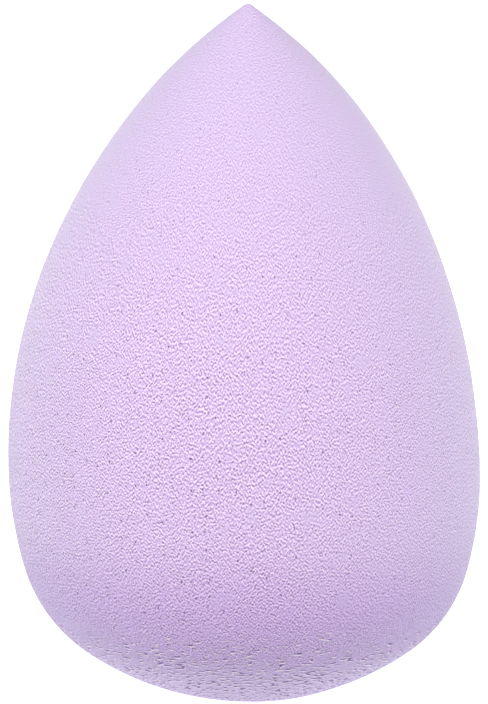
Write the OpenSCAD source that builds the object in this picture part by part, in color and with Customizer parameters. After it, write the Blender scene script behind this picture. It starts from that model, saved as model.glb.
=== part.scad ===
// Makeup sponge: one teardrop of fine open-cell foam, the same right through, with no core, skin or seam.
// The origin is the centre of the flat that it stands on, and +Z runs up to the tip.
// Its outline is six round arcs, each running into the next without a corner: base, heel, belly,
// flank, shoulder and nib. The heel and the nib are rounded corners of a chosen radius. The base and the
// belly are shallow crowns, and their radii follow from the heel and from how far each swells past it.
// The flank and the shoulder are a pair that leaves the belly upright and reaches the nib at the
// angle of the point, and their radii follow from those two ends.

/* [Overall size] */
// Height from the flat that it stands on to the tip
body_h = 60; // [50:1:90]
// Diameter of the belly at its widest ring
belly_d = 41; // [34:0.1:60]
// Height of the widest ring above the flat
belly_z = 19.6; // [18:0.1:28]

/* [Heel and base] */
// Radius of the heel, the rounded corner between belly and base
heel_r = 12.9; // [8:0.1:14]
// How far the belly swells out past the heel
belly_swell = 0.7; // [0.2:0.05:2]
// How far the base domes down past the heel
base_swell = 2.2; // [1:0.1:4]
// Depth of the dome that is pressed flat where the sponge stands
flat_depth = 0.5; // [0.2:0.1:0.8]

/* [Tip] */
// Full angle of the point, where the sides run into the nib
point_angle = 110; // [100:1:130]
// Radius of the nib, the small rounded end of the point
nib_r = 0.6; // [0.3:0.1:3]

/* [Hidden] */
$fn = 180;

// Length of the shoulder's end tangents against the flank's.
shoulder_share = 0.5;

// Radius of a crown that touches a straight line and runs into a corner circle.
// run is how far along the line the circle's centre lies, and swell is its clear distance from the line.
function crown_r(run, swell, corner_r) =
    (run * run + pow(swell + corner_r, 2) - corner_r * corner_r) / (2 * swell);

// Unit step in a direction, in degrees, and the direction from one point to another.
function toward(a) = [cos(a), sin(a)];
function bearing(from, to) = atan2(to.y - from.y, to.x - from.x);

// Radius of an arc that turns by some angle, from the length of its end tangents.
function tangent_r(tangent, turn) = tangent / tan(turn / 2);

// Points round an arc from one bearing to another, without its last point, which opens the next arc.
function arc(centre, r, start, end, steps) =
    [for (i = [0 : steps - 1]) centre + r * toward(start + (end - start) * i / steps)];

// Outline points are [distance from the axis, height above the flat].
belly_r = belly_d / 2;
heel_c = [belly_r - belly_swell - heel_r, base_swell - flat_depth + heel_r];
nib_c = [0, body_h - nib_r];

// Base and belly, the crowns on either side of the heel.
base_arc_r = crown_r(heel_c.x, base_swell, heel_r);
belly_arc_r = crown_r(belly_z - heel_c.y, belly_swell, heel_r);
base_c = [0, base_arc_r - flat_depth];
belly_c = [belly_r - belly_arc_r, belly_z];

// Flank and shoulder. An arc's two end tangents are equally long, so of the three straight legs that
// wrap the pair, the middle one is as long as the outer two together, which gives their lengths.
point_a = point_angle / 2;
upright = toward(90);
leaning = toward(90 + point_a);
climb = nib_c + nib_r * toward(point_a) - [belly_r, belly_z];
fold = 2 * shoulder_share * (1 - upright * leaning);
reach = climb * (upright + shoulder_share * leaning);
flank_tangent = (sqrt(reach * reach + fold * (climb * climb)) - reach) / fold;
shared_tangent = climb - flank_tangent * (upright + shoulder_share * leaning);
shoulder_start_a = bearing([0, 0], shared_tangent) - 90;
flank_arc_r = tangent_r(flank_tangent, shoulder_start_a);
shoulder_arc_r = tangent_r(shoulder_share * flank_tangent, point_a - shoulder_start_a);
flank_c = [belly_r - flank_arc_r, belly_z];
shoulder_c = nib_c - (shoulder_arc_r - nib_r) * toward(point_a);

// Bearings at which the lower arcs hand over to the next.
flat_edge_a = -asin(base_c.y / base_arc_r);
heel_start_a = bearing(base_c, heel_c);
heel_end_a = bearing(belly_c, heel_c);

// Steps in each arc, fewest where it turns least.
base_steps = 10;
heel_steps = 16;
belly_steps = 8;
flank_steps = 18;
shoulder_steps = 12;
nib_steps = 6;

teardrop_outline = concat(
    [[0, 0]],
    arc(base_c, base_arc_r, flat_edge_a, heel_start_a, base_steps),
    arc(heel_c, heel_r, heel_start_a, heel_end_a, heel_steps),
    arc(belly_c, belly_arc_r, heel_end_a, 0, belly_steps),
    arc(flank_c, flank_arc_r, 0, shoulder_start_a, flank_steps),
    arc(shoulder_c, shoulder_arc_r, shoulder_start_a, point_a, shoulder_steps),
    arc(nib_c, nib_r, point_a, 90, nib_steps),
    [[0, body_h]]
);

// The whole sponge, turned from its outline.
module foam_body() {
    color("#dfc8ee")
        rotate_extrude()
            polygon(teardrop_outline);
}

foam_body();
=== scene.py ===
import math

import bmesh
import bpy
import numpy as np
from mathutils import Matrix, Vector, noise


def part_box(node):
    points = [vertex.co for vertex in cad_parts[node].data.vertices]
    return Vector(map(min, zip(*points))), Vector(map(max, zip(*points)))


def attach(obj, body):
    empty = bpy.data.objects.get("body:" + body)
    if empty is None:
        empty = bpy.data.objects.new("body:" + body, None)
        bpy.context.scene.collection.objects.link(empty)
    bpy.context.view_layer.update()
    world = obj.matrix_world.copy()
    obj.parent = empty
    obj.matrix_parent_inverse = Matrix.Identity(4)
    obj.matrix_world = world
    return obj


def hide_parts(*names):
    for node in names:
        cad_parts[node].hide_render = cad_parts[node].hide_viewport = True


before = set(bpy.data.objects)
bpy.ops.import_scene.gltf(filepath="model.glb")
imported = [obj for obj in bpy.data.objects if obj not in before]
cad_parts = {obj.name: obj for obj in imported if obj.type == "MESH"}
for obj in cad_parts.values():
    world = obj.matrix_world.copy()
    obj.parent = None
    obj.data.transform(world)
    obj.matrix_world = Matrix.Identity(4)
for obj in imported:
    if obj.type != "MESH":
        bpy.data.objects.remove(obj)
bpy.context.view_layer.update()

MM = 0.001

# Sizes of the sponge, in metres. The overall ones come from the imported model.
box_low, box_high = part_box("foam_body")
BODY_H = box_high.z - box_low.z
BELLY_R = (box_high.x - box_low.x) / 2
BELLY_Z = 19.6 * MM
HEEL_R = 12.9 * MM
BELLY_SWELL = 0.7 * MM
BASE_SWELL = 2.2 * MM
FLAT_DEPTH = 0.5 * MM
NIB_R = 0.6 * MM
POINT_ANGLE = math.radians(110)
SHOULDER_SHARE = 0.5

# Camera. It looks slightly down at the middle of the sponge, as the photograph does.
# The frame is taller than wide, so the sensor's size counts along its height.
FRAME_HEIGHT = 61.06 * MM
CAMERA_ELEVATION = math.radians(7)
CAMERA_DISTANCE = 0.4
CAMERA_NEAR = 0.01
CAMERA_FAR = 50
SENSOR = 36.0
AIM = Vector((-0.12 * MM, 0, 29.84 * MM))


def set_camera():
    """Looks along +Y from in front with a long lens and no shift. The sponge fills the frame."""
    data = bpy.data.cameras.new("camera")
    data.sensor_width = SENSOR
    data.lens = SENSOR * CAMERA_DISTANCE / FRAME_HEIGHT
    data.clip_start = CAMERA_NEAR
    data.clip_end = CAMERA_FAR
    camera = bpy.data.objects.new("camera", data)
    bpy.context.scene.collection.objects.link(camera)
    back = Vector((0, -math.cos(CAMERA_ELEVATION), math.sin(CAMERA_ELEVATION)))
    camera.location = AIM + back * CAMERA_DISTANCE
    camera.rotation_euler = (-back).to_track_quat("-Z", "Y").to_euler()
    bpy.context.scene.camera = camera


def linear(hex_colour):
    """Turns an sRGB hex colour such as "dfc8ee" into linear red, green, blue and 1."""
    parts = [int(hex_colour[i:i + 2], 16) / 255 for i in (0, 2, 4)]
    return [p / 12.92 if p <= 0.04045 else ((p + 0.055) / 1.055) ** 2.4 for p in parts] + [1.0]


def add(tree, kind, links=(), **settings):
    """Adds a node and gives it back.

    Settings are its own properties. Links are its inputs, in order or by name: values, outputs of
    other nodes, or other nodes, each of which stands for its first output.
    """
    node = tree.nodes.new("ShaderNode" + kind)
    for name, value in settings.items():
        setattr(node, name, value)
    named = links if isinstance(links, dict) else dict(enumerate(links))
    for name, value in named.items():
        if isinstance(value, bpy.types.Node):
            value = value.outputs[0]
        if isinstance(value, bpy.types.NodeSocket):
            tree.links.new(value, node.inputs[name])
        else:
            node.inputs[name].default_value = value
    return node


def crown_r(run, swell, corner_r):
    """Radius of a crown that touches a straight line and runs into a corner circle."""
    return (run ** 2 + (swell + corner_r) ** 2 - corner_r ** 2) / (2 * swell)


def toward(angle):
    """Unit step in a direction, in radians."""
    return np.array([math.cos(angle), math.sin(angle)])


def bearing(start, end):
    """Direction from one point to another, in radians."""
    return math.atan2(end[1] - start[1], end[0] - start[0])


def outline_arcs():
    """The sponge's outline as centre, radius, first and last bearing of its six tangent arcs."""
    heel = np.array([BELLY_R - BELLY_SWELL - HEEL_R, BASE_SWELL - FLAT_DEPTH + HEEL_R])
    nib = np.array([0, BODY_H - NIB_R])
    belly_point = np.array([BELLY_R, BELLY_Z])
    base_r = crown_r(heel[0], BASE_SWELL, HEEL_R)
    belly_r = crown_r(BELLY_Z - heel[1], BELLY_SWELL, HEEL_R)
    base = np.array([0, base_r - FLAT_DEPTH])
    belly = belly_point - [belly_r, 0]
    # Three straight legs wrap the flank and the shoulder. The middle leg is as long as the other two
    # together, which gives their lengths.
    point = POINT_ANGLE / 2
    legs = toward(math.pi / 2) + SHOULDER_SHARE * toward(math.pi / 2 + point)
    climb = nib + NIB_R * toward(point) - belly_point
    fold = 2 * SHOULDER_SHARE * (1 - math.cos(point))
    reach = climb @ legs
    leg = (math.sqrt(reach ** 2 + fold * (climb @ climb)) - reach) / fold
    joint = bearing((0, 0), climb - leg * legs) - math.pi / 2
    flank_r = leg / math.tan(joint / 2)
    shoulder_r = SHOULDER_SHARE * leg / math.tan((point - joint) / 2)
    flank = belly_point - [flank_r, 0]
    shoulder = nib - (shoulder_r - NIB_R) * toward(point)
    return [
        (base, base_r, -math.asin(base[1] / base_r), bearing(base, heel)),
        (heel, HEEL_R, bearing(base, heel), bearing(belly, heel)),
        (belly, belly_r, bearing(belly, heel), 0),
        (flank, flank_r, 0, joint),
        (shoulder, shoulder_r, joint, point),
        (nib, NIB_R, point, math.pi / 2),
    ]


# Points along the resting flat and along each arc. They are far closer together than the mesh's.
ARC_POINTS = 600


def outline_points():
    """Radius, height and bearing of the outward normal along the outline, from foot to tip."""
    rows = []
    for (cx, cz), r, start, end in outline_arcs():
        a = np.linspace(start, end, ARC_POINTS)
        rows.append(np.stack([cx + r * np.cos(a), cz + r * np.sin(a), a], axis=1))
    flat_r = rows[0][0, 0]
    across = np.linspace(0, flat_r, ARC_POINTS)
    down = np.full(ARC_POINTS, -math.pi / 2)
    flat = np.stack([across, np.zeros(ARC_POINTS), down], axis=1)
    return np.concatenate([flat] + rows)


def ball_directions(cells):
    """A cube, cells by cells on each side, and the ball it swells to. No part of it is crowded."""
    bm = bmesh.new()
    bmesh.ops.create_cube(bm, size=2)
    bmesh.ops.subdivide_edges(bm, edges=bm.edges[:], cuts=cells - 1, use_grid_fill=True)
    mesh = bpy.data.meshes.new("foam")
    bm.to_mesh(mesh)
    bm.free()
    cube = np.empty(len(mesh.vertices) * 3)
    mesh.vertices.foreach_get("co", cube)
    cube = cube.reshape(-1, 3)
    ball = np.tan(cube * math.pi / 4)
    return mesh, cube, ball / np.linalg.norm(ball, axis=1, keepdims=True)


# Name of the flat map that the grain is drawn on. Its faces are 2 half sides wide and start this
# many half sides apart, which leaves a gap between them.
PLAN = "grain"
PLAN_STEP = 3


def lay_plan(mesh, cube, half_side):
    """Lays the six faces of the cube out flat, side by side, as a map in millimetres."""
    corner = np.empty(len(mesh.loops), int)
    mesh.loops.foreach_get("vertex_index", corner)
    quads = cube[corner].reshape(-1, 4, 3)
    middle = quads.mean(axis=1)
    axis = np.argmax(np.abs(middle), axis=1)
    kept = np.array([[1, 2], [0, 2], [0, 1]])[axis]
    flat = np.take_along_axis(quads, kept[:, None, :].repeat(4, axis=1), axis=2)
    face = 2 * axis + (np.take_along_axis(middle, axis[:, None], axis=1)[:, 0] > 0)
    flat[..., 0] += PLAN_STEP * face[:, None]
    plan = mesh.uv_layers.new(name=PLAN)
    plan.data.foreach_set("uv", (flat * half_side / MM).ravel())


def field(points, size, octaves, seed):
    """Smooth noise from about -1 to 1 at each point, with lumps of about the given size.

    Each octave after the first adds lumps half as large and half as high.
    """
    shift = Vector((seed, seed * 1.7, seed * 2.3))
    if octaves == 1:
        return np.array([noise.noise(Vector(p) / size + shift) for p in points])
    return np.array([noise.fractal(Vector(p) / size + shift, 1.0, 2.0, octaves) for p in points])


# Cells along each side of the cube that the mesh starts from. On the sponge each is 0.26 mm wide.
MESH_CELLS = 128
# Unevenness of the skin. The seeds only place it.
LUMP_SIZE = 9 * MM
LUMP_HEIGHT = 0.05 * MM
LUMP_SEED = 3.1
GRIT_SIZE = 1.0 * MM
GRIT_HEIGHT = 0.01 * MM
GRIT_SEED = 7.7
# The middle line bows: the foot and the tip stand this far to the right, the waist to the left.
BOW = 0.22 * MM


def make_foam():
    """The whole sponge as one closed skin of even quads, turned from the outline and roughened."""
    mesh, cube, ball = ball_directions(MESH_CELLS)
    r, z, a = outline_points().T
    # A step up the ball covers the same share of its skin as of the sponge's, so quads stay even.
    ring = math.pi * (r[1:] + r[:-1]) * np.hypot(np.diff(r), np.diff(z))
    area = np.concatenate([[0], np.cumsum(ring)])
    share = (1 + ball[:, 2]) / 2 * area[-1]
    radius, height, slope = (np.interp(share, area, v) for v in (r, z, a))
    # The two points on the axis face no way round, so their length is kept from being nought.
    length = np.maximum(np.linalg.norm(ball[:, :2], axis=1, keepdims=True), 1e-9)
    round_xy = ball[:, :2] / length
    points = np.column_stack([round_xy * radius[:, None], height])
    normal = np.column_stack([round_xy * np.cos(slope)[:, None], np.sin(slope)])
    lumps = LUMP_HEIGHT * field(points, LUMP_SIZE, octaves=2, seed=LUMP_SEED)
    grit = GRIT_HEIGHT * field(points, GRIT_SIZE, octaves=1, seed=GRIT_SEED)
    points += normal * (lumps + grit)[:, None]
    points[:, 0] += BOW * np.cos(2 * math.pi * height / BODY_H)
    # The foot stays on the floor.
    points[:, 2] = np.maximum(points[:, 2], 0)
    mesh.vertices.foreach_set("co", points.ravel())
    # A cube with as much skin as the sponge sets the scale of the flat map.
    lay_plan(mesh, cube, half_side=math.sqrt(area[-1] / 6) / 2)
    mesh.polygons.foreach_set("use_smooth", np.ones(len(mesh.polygons), bool))
    mesh.update()
    piece = bpy.data.objects.new("foam", mesh)
    bpy.context.scene.collection.objects.link(piece)
    return piece


# The foam's grain, in millimetres. Real cells are 0.1 to 0.25 mm across. Here the dots are about
# 0.3 mm apart, coarser than real so that they show: 3 to 4 pixels at the photograph's distance.
# Each layer of the grain has a size, and a turn in radians that makes it cross the other.
GRAIN_LAYERS = ((0.175, 0.35), (0.163, -0.3))
# Marks are drawn this many times wider than tall, and stand out this strongly.
GRAIN_FLATTENING = 1.35
GRAIN_GAIN = 5.2
# Relief at which a cell wall is at its palest.
WALL_RISE = 0.25
# A spot's shade has this share of the mean shade this far above and below it taken off.
SURROUND_MM = 0.165
SURROUND_SHARE = 0.5
# Depth of pores, pinholes and creases below level skin, and height of the creases' lips above it.
CELL_DEPTH_MM = 0.025
BUBBLE_DEPTH_MM = 0.05
CREASE_DEPTH_MM = 0.055
LIP_HEIGHT_MM = 0.09

# Pinholes. One is flat at the bottom over the flat share of its radius. The faint share of them
# don't show at all, and the rest have depths from next to nothing to full.
BUBBLE_SPACING_MM = 1.3
BUBBLE_RADIUS_MM = 0.12
BUBBLE_FLAT_SHARE = 0.3
BUBBLE_FAINT_SHARE = 0.2

# Creases round the foot. Their length is measured where the foot is CREASE_RING_MM from the axis.
# Their spacing is a height, and the nearly level base counts as a slope, so that they keep apart
# on it as well.
CREASE_LENGTH_MM = 0.62
CREASE_SPACING_MM = 0.21
CREASE_RING_MM = 15
BASE_SLOPE = 0.35
LIP_MM = 0.15
# Noise below a level is a crease or a lip, with a soft edge above it. Crowding lowers the noise
# down the foot, which makes more of both.
CREASE_LEVEL = 0.19
LIP_LEVEL = 0.245
CREASE_EDGE = 0.06
CREASE_CROWDING = 0.18
# Share of the foot by which they are in full, and distances from the axis over which they fade in.
CREASE_FOOT_SHARE = 0.3
CREASE_FADE_MM = (5.0, 8.0)

# Heights over which the foot comes in, going down, and over which the tip's smooth grind ends.
FOOT_MM = (9.5, 3.0)
TIP_MM = (58, 24)
# Heights over which the foot's faint painted violet shade comes in from above, and from below.
FOOT_SHADE_TOP_MM = (17, 9)
FOOT_SHADE_BOTTOM_MM = (2, 6)

# How rough the grind is, where 1 is rough skin in the middle of the belly. Smooth patches are
# about PATCH_MM across and lie where their noise is low. The foot turns smoother between two
# shares of it, and the whole sponge does with each millimetre towards +X.
PATCH_MM = 2.0
PATCH_LEVELS = (0.25, 0.42)
PATCH_GRIT = 0.5
TIP_GRIT = 0.4
FOOT_SHARES = (0.6, 1.0)
FOOT_GRIT = 0.5
GRIT_LOSS_PER_MM = 0.013

# Colours of the foam. Even skin is where the grind is smooth. Middle, wall and pore are the level
# parts, the cell walls and the pores of grained skin. Pores, pinholes and creases are painted dark
# as shade, and walls and lips pale as painted highlights. The foot's painted shade multiplies what
# it lies on.
EVEN_COLOUR = "d2bce3"
MIDDLE_COLOUR = "d8b9e8"
WALL_HIGHLIGHT_COLOUR = "ffeaff"
PORE_SHADE_COLOUR = "a984b9"
BUBBLE_SHADE_COLOUR = "7c5c90"
CREASE_SHADE_COLOUR = "9464b0"
LIP_HIGHLIGHT_COLOUR = "ffeaff"
FOOT_SHADE_COLOUR = "f1eaf6"
# Walls are worn a little smoother than pores, between these two reliefs.
WORN_LEVELS = (0.5, -0.5)
WALL_ROUGHNESS = 0.82
PORE_ROUGHNESS = 0.95

# Input and output sockets of a Mix node that mixes colours.
MIX_A, MIX_B, MIX_RESULT = 6, 7, 2
# Makes a Map Range node a smooth step. Its inputs are a value, where on it the step starts and
# ends, and what the step gives there, which is 0 and 1 where nothing else is said.
SMOOTH = {"interpolation_type": "SMOOTHSTEP"}


def cut_cells(tree, plan):
    """Relief of the cut cells, about -1 in the deepest pores and 1 on the tallest walls.

    Two layers cross, so that no grid shows. Each averages one half. Their sum, less one, is then
    multiplied by its own size: most of the skin turns out nearly level, and only the extremes
    stand out from it, as dots and strokes.
    """
    layers = []
    for size, turn in GRAIN_LAYERS:
        turned = add(tree, "Mapping", {
            "Vector": plan, "Scale": (1, GRAIN_FLATTENING, 1), "Rotation": (0, 0, turn)})
        layers.append(add(tree, "TexNoise", {"Vector": turned, "Scale": 1 / size, "Detail": 0.0},
                          noise_dimensions="2D"))
    both = add(tree, "Math", layers, operation="ADD")
    level = add(tree, "Math", (both, 1.0), operation="SUBTRACT")
    extent = add(tree, "Math", (level,), operation="ABSOLUTE")
    steepness = add(tree, "Math", (extent, GRAIN_GAIN), operation="MULTIPLY")
    return add(tree, "Math", (level, steepness), operation="MULTIPLY")


def cell_shade(tree, cells):
    """Shade of the cut cells: -1 in the deepest pores, 0 on level skin and 1 on the walls."""
    dark = add(tree, "Math", (cells, 0.0), operation="MINIMUM")
    pale = add(tree, "MapRange", (cells, 0.0, WALL_RISE), **SMOOTH)
    return add(tree, "Math", (dark, pale), operation="ADD")


def evened_shade(tree, plan, cells):
    """The cells' shade, paler above and below each pore and darker above and below each wall.

    So the dark and pale marks even out from a little way off, and no large blotches show.
    """
    around = []
    for step in (SURROUND_MM, -SURROUND_MM):
        beside = add(tree, "VectorMath", ((0, step, 0), plan), operation="ADD")
        around.append(cell_shade(tree, cut_cells(tree, beside)))
    total = add(tree, "Math", around, operation="ADD")
    taken = -SURROUND_SHARE / len(around)
    return add(tree, "Math", (total, taken, cell_shade(tree, cells)), operation="MULTIPLY_ADD")


def cut_bubbles(tree, plan):
    """Pinholes, where a bubble much larger than a cell was cut, painted dark as shade. Their depths
    differ.
    """
    bubbles = add(tree, "TexVoronoi", {"Vector": plan, "Scale": 1 / BUBBLE_SPACING_MM},
                  voronoi_dimensions="2D")
    chance = add(tree, "SeparateColor", (bubbles.outputs["Color"],))
    rim = BUBBLE_RADIUS_MM / BUBBLE_SPACING_MM
    hole = add(tree, "MapRange", (bubbles, rim, BUBBLE_FLAT_SHARE * rim), **SMOOTH)
    depth = add(tree, "MapRange", (chance, BUBBLE_FAINT_SHARE, 1.0), **SMOOTH)
    return add(tree, "Math", (hole, depth), operation="MULTIPLY")


def foot_creases(tree, in_mm, up_mm, foot):
    """Short creases round the foot, painted dark as shade, and under each a lip painted pale as
    highlight.
    """
    flat = add(tree, "VectorMath", (in_mm, (1, 1, 0)), operation="MULTIPLY")
    facing = add(tree, "VectorMath", (flat,), operation="NORMALIZE")
    reach = add(tree, "VectorMath", (flat,), operation="LENGTH").outputs["Value"]
    climb = add(tree, "Math", (reach, BASE_SLOPE, up_mm), operation="MULTIPLY_ADD")
    turns = CREASE_RING_MM / CREASE_LENGTH_MM
    # They fade out above the foot, and under it before they crowd together at the axis.
    on_foot = add(tree, "MapRange", (foot, 0.0, CREASE_FOOT_SHARE), **SMOOTH)
    off_axis = add(tree, "MapRange", (reach, *CREASE_FADE_MM), **SMOOTH)
    present = add(tree, "Math", (on_foot, off_axis), operation="MULTIPLY")
    marks = []
    for shift, level in ((0.0, CREASE_LEVEL), (LIP_MM, LIP_LEVEL)):
        rise = add(tree, "Math", (climb, shift), operation="ADD")
        rise = add(tree, "Math", (rise, CREASE_SPACING_MM), operation="DIVIDE")
        rise = add(tree, "CombineXYZ", {"Z": rise})
        wrapped = add(tree, "VectorMath", (facing, (turns, turns, 0), rise),
                      operation="MULTIPLY_ADD")
        line = add(tree, "TexNoise", {"Vector": wrapped, "Scale": 1.0, "Detail": 0.5})
        line = add(tree, "Math", (foot, -CREASE_CROWDING, line), operation="MULTIPLY_ADD")
        mark = add(tree, "MapRange", (line, level + CREASE_EDGE, level), **SMOOTH)
        marks.append(add(tree, "Math", (mark, present), operation="MULTIPLY"))
    return marks


def grind(tree, in_mm, across_mm, up_mm, foot):
    """How rough the grind is: smoother in patches, at the tip, on the foot, and towards +X."""
    patches = add(tree, "TexNoise", {"Vector": in_mm, "Scale": 1 / PATCH_MM, "Detail": 1.0})
    grit = add(tree, "MapRange", (patches, *PATCH_LEVELS, PATCH_GRIT, 1.0), **SMOOTH)
    for share in (
            add(tree, "MapRange", (up_mm, *TIP_MM, TIP_GRIT, 1.0), **SMOOTH),
            add(tree, "MapRange", (foot, *FOOT_SHARES, 1.0, FOOT_GRIT), **SMOOTH),
            add(tree, "Math", (across_mm, -GRIT_LOSS_PER_MM, 1.0), operation="MULTIPLY_ADD")):
        grit = add(tree, "Math", (grit, share), operation="MULTIPLY")
    return grit


def foam_relief(tree, cells, grit, bubbles, creases, lips):
    """Relief of the skin: cells and lips on level skin, less the deeper of pinhole and crease."""
    rough = add(tree, "Math", (cells, grit), operation="MULTIPLY")
    lip = add(tree, "Math", (lips, LIP_HEIGHT_MM), operation="MULTIPLY")
    raised = add(tree, "Math", (rough, CELL_DEPTH_MM, lip), operation="MULTIPLY_ADD")
    hole = add(tree, "Math", (bubbles, BUBBLE_DEPTH_MM), operation="MULTIPLY")
    furrow = add(tree, "Math", (creases, CREASE_DEPTH_MM), operation="MULTIPLY")
    sunk = add(tree, "Math", (hole, furrow), operation="MAXIMUM")
    height = add(tree, "Math", (raised, sunk), operation="SUBTRACT")
    return add(tree, "Bump", {"Height": height, "Distance": MM, "Strength": 1.0})


def grained_colour(tree, plan, cells):
    """Colour of grained skin. It runs from pore to wall as the shade runs from -1 to 1."""
    shade = evened_shade(tree, plan, cells)
    along = add(tree, "Math", (shade, 0.5, 0.5), operation="MULTIPLY_ADD")
    grained = add(tree, "ValToRGB", (along,))
    stops = grained.color_ramp.elements
    # Painted shade in the pores.
    stops[0].color = linear(PORE_SHADE_COLOUR)
    # Painted highlight on the walls.
    stops[1].color = linear(WALL_HIGHLIGHT_COLOUR)
    stops.new(0.5).color = linear(MIDDLE_COLOUR)
    return grained


def foot_painted_shade(tree, up_mm):
    """Strength of the faint painted violet shade round the foot. It is full between its two fades.
    """
    top = add(tree, "MapRange", (up_mm, *FOOT_SHADE_TOP_MM), **SMOOTH)
    bottom = add(tree, "MapRange", (up_mm, *FOOT_SHADE_BOTTOM_MM), **SMOOTH)
    return add(tree, "Math", (top, bottom), operation="MULTIPLY")


def foam_material():
    """Fine polyurethane foam, dyed in the mix and ground to shape.

    Grinding leaves every cell cut open, so the eye sees a matt, evenly speckled skin: pale cell
    walls, darker pores between them, and here and there a pinhole where a large bubble was cut.
    Round the foot are short creases with pale lips, as where soft foam drags under the wheel.
    The pale walls and lips are painted highlights, and the dark pores, pinholes and creases are
    painted shade, laid over their relief. A faint painted violet shade darkens the foot.
    """
    material = bpy.data.materials.new("ground_polyurethane_foam")
    material.use_nodes = True
    tree = material.node_tree
    tree.nodes.clear()
    place = add(tree, "TexCoord").outputs["Object"]
    in_mm = add(tree, "VectorMath", (place, (MM, MM, MM)), operation="DIVIDE")
    across_mm, _, up_mm = add(tree, "SeparateXYZ", (in_mm,)).outputs
    plan = add(tree, "UVMap", uv_map=PLAN)
    foot = add(tree, "MapRange", (up_mm, *FOOT_MM), **SMOOTH)
    creases, lips = foot_creases(tree, in_mm, up_mm, foot)
    grit = grind(tree, in_mm, across_mm, up_mm, foot)
    cells = cut_cells(tree, plan)
    bubbles = add(tree, "Math", (cut_bubbles(tree, plan), grit), operation="MULTIPLY")
    # Each tone is laid over the ones before it.
    tone = linear(EVEN_COLOUR)
    for share, colour, blend in (
            # Grained skin, with painted shade in its pores and painted highlights on its walls.
            (grit, grained_colour(tree, plan, cells), "MIX"),
            # Painted shade: a faint violet darkening round the foot.
            (foot_painted_shade(tree, up_mm), linear(FOOT_SHADE_COLOUR), "MULTIPLY"),
            # A painted highlight on the lips.
            (lips, linear(LIP_HIGHLIGHT_COLOUR), "MIX"),
            # Painted shade in the creases.
            (creases, linear(CREASE_SHADE_COLOUR), "MIX"),
            # Painted shade in the pinholes.
            (bubbles, linear(BUBBLE_SHADE_COLOUR), "MIX")):
        tone = add(tree, "Mix", {"Factor": share, MIX_A: tone, MIX_B: colour},
                   data_type="RGBA", blend_type=blend).outputs[MIX_RESULT]
    roughness = add(tree, "MapRange", (cells, *WORN_LEVELS, WALL_ROUGHNESS, PORE_ROUGHNESS),
                    **SMOOTH)
    # Open cells trap most of the plastic's gloss. The soft fuzz of cut walls shows as sheen.
    shader = add(tree, "BsdfPrincipled", {
        "Base Color": tone, "Roughness": roughness, "IOR": 1.5, "Specular IOR Level": 0.3,
        "Sheen Weight": 0.45, "Sheen Roughness": 0.5,
        "Normal": foam_relief(tree, cells, grit, bubbles, creases, lips)})
    add(tree, "OutputMaterial", {"Surface": shader})
    return material


# Stage. A sheet's glow has one strength in front of the sponge and another behind it. It changes
# from one to the other between the two distances along Y in GLOW_STRIP.
SHEET_R = 4.0
SHEET_SIDES = 96
GLOW_STRIP = (-32 * MM, 22 * MM)
FLOOR_COLOUR = "e6e6e6"
FLOOR_GLOW = (0.8, 0.8)
FLOOR_GLOW_COLOUR = "ffffff"
CARD_COLOUR = "949494"
CARD_GLOW = (0.45, 1.3)
CARD_GLOW_COLOUR = "f2f9ff"
CARD_Z = -0.1 * MM


def paper_sheet(name, height, colour, glow, glow_colour):
    """A wide round sheet of matt paper that also glows, as if it were lit from behind."""
    bm = bmesh.new()
    bmesh.ops.create_circle(bm, cap_ends=True, segments=SHEET_SIDES, radius=SHEET_R)
    mesh = bpy.data.meshes.new(name)
    bm.to_mesh(mesh)
    bm.free()
    sheet = bpy.data.objects.new(name, mesh)
    sheet.location.z = height
    bpy.context.scene.collection.objects.link(sheet)
    material = bpy.data.materials.new(name + "_paper")
    material.use_nodes = True
    tree = material.node_tree
    tree.nodes.clear()
    place = add(tree, "TexCoord").outputs["Object"]
    depth = add(tree, "SeparateXYZ", (place,)).outputs["Y"]
    strength = add(tree, "MapRange", (depth, *GLOW_STRIP, *glow), **SMOOTH)
    shader = add(tree, "BsdfPrincipled", {
        "Base Color": linear(colour), "Roughness": 1.0, "Specular IOR Level": 0.0,
        "Emission Color": linear(glow_colour), "Emission Strength": strength})
    add(tree, "OutputMaterial", {"Surface": shader})
    mesh.materials.append(material)
    return sheet


def stage_floor():
    """A white floor to look at, and a card under it that gives the sponge its light from below."""
    floor = paper_sheet("floor", 0.0, FLOOR_COLOUR, FLOOR_GLOW, FLOOR_GLOW_COLOUR)
    floor.visible_diffuse = False
    floor.visible_glossy = False
    floor.visible_shadow = False
    card = paper_sheet("bounce_card", CARD_Z, CARD_COLOUR, CARD_GLOW, CARD_GLOW_COLOUR)
    card.visible_camera = False


def sun(name, elevation, side, spread, strength, colour):
    """A soft light from far off. Angles are in degrees, and side is to the camera's right."""
    data = bpy.data.lights.new(name, "SUN")
    data.angle = math.radians(spread)
    data.energy = strength
    data.color = linear(colour)[:3]
    light = bpy.data.objects.new(name, data)
    bpy.context.scene.collection.objects.link(light)
    up, around = math.radians(elevation), math.radians(side)
    source = Vector((math.cos(up) * math.sin(around), -math.cos(up) * math.cos(around),
                     math.sin(up)))
    light.rotation_euler = (-source).to_track_quat("-Z", "Y").to_euler()


def set_world(strength, colour):
    """Even light from all round."""
    world = bpy.data.worlds.new("studio")
    bpy.context.scene.world = world
    world.use_nodes = True
    background = world.node_tree.nodes["Background"]
    background.inputs["Color"].default_value = linear(colour)
    background.inputs["Strength"].default_value = strength


set_camera()
foam = make_foam()
foam.data.materials.append(foam_material())
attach(foam, "root")
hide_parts("foam_body")
stage_floor()
# The light from all round and from the sides is cooler than the key, and turns the sides bluish.
set_world(strength=0.3, colour="e9fcff")
sun("key", elevation=45, side=0, spread=40, strength=2.5, colour="fffbf7")
sun("left", elevation=15, side=-80, spread=40, strength=0.7, colour="f3ffff")
sun("right", elevation=15, side=80, spread=40, strength=0.38, colour="f1fdff")
bpy.context.scene.view_settings.view_transform = "Standard"
